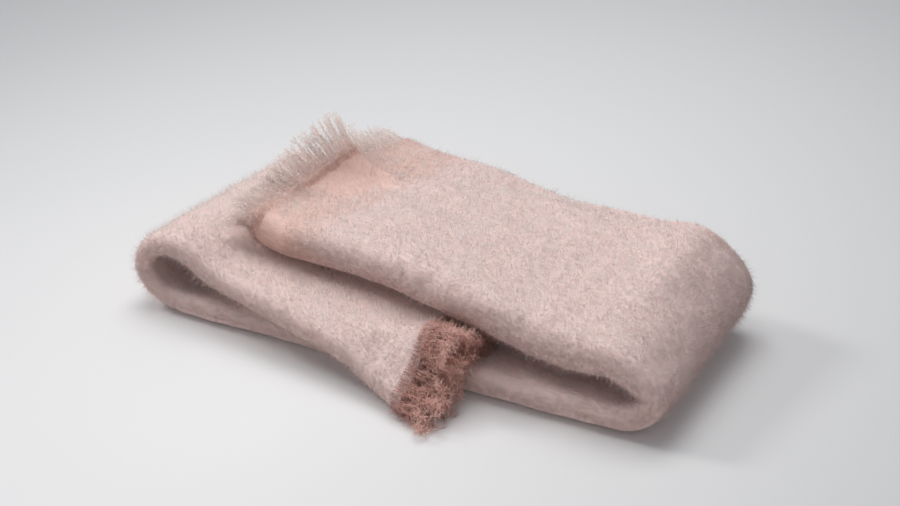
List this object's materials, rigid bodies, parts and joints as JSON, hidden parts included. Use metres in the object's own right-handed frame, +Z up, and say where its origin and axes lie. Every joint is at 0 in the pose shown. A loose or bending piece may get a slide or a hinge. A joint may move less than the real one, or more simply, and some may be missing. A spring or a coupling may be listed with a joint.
{
  "type": "folded throw",
  "caption": "Brushed mohair throw folded lengthwise to four plies and then in three, with a yarn fringe on both short ends; lies flat on a floor, bed or shelf.",
  "frame": {"origin": "middle of the bounding box on the surface it lies on", "axes": "+X along the long side towards the plump right fold, -Y towards the rounded closed front edge, +Z up"},
  "size_m": [0.853, 0.5616, 0.2232],
  "materials": {
    "mohair_cloth": "brushed pile, matte",
    "mohair_yarn": "soft twisted yarn, matte"
  },
  "bodies": {
    "root": {"throw_cloth": "mohair_cloth", "fringe_upper": "mohair_yarn", "fringe_lower": "mohair_yarn"}
  },
  "joints": []
}
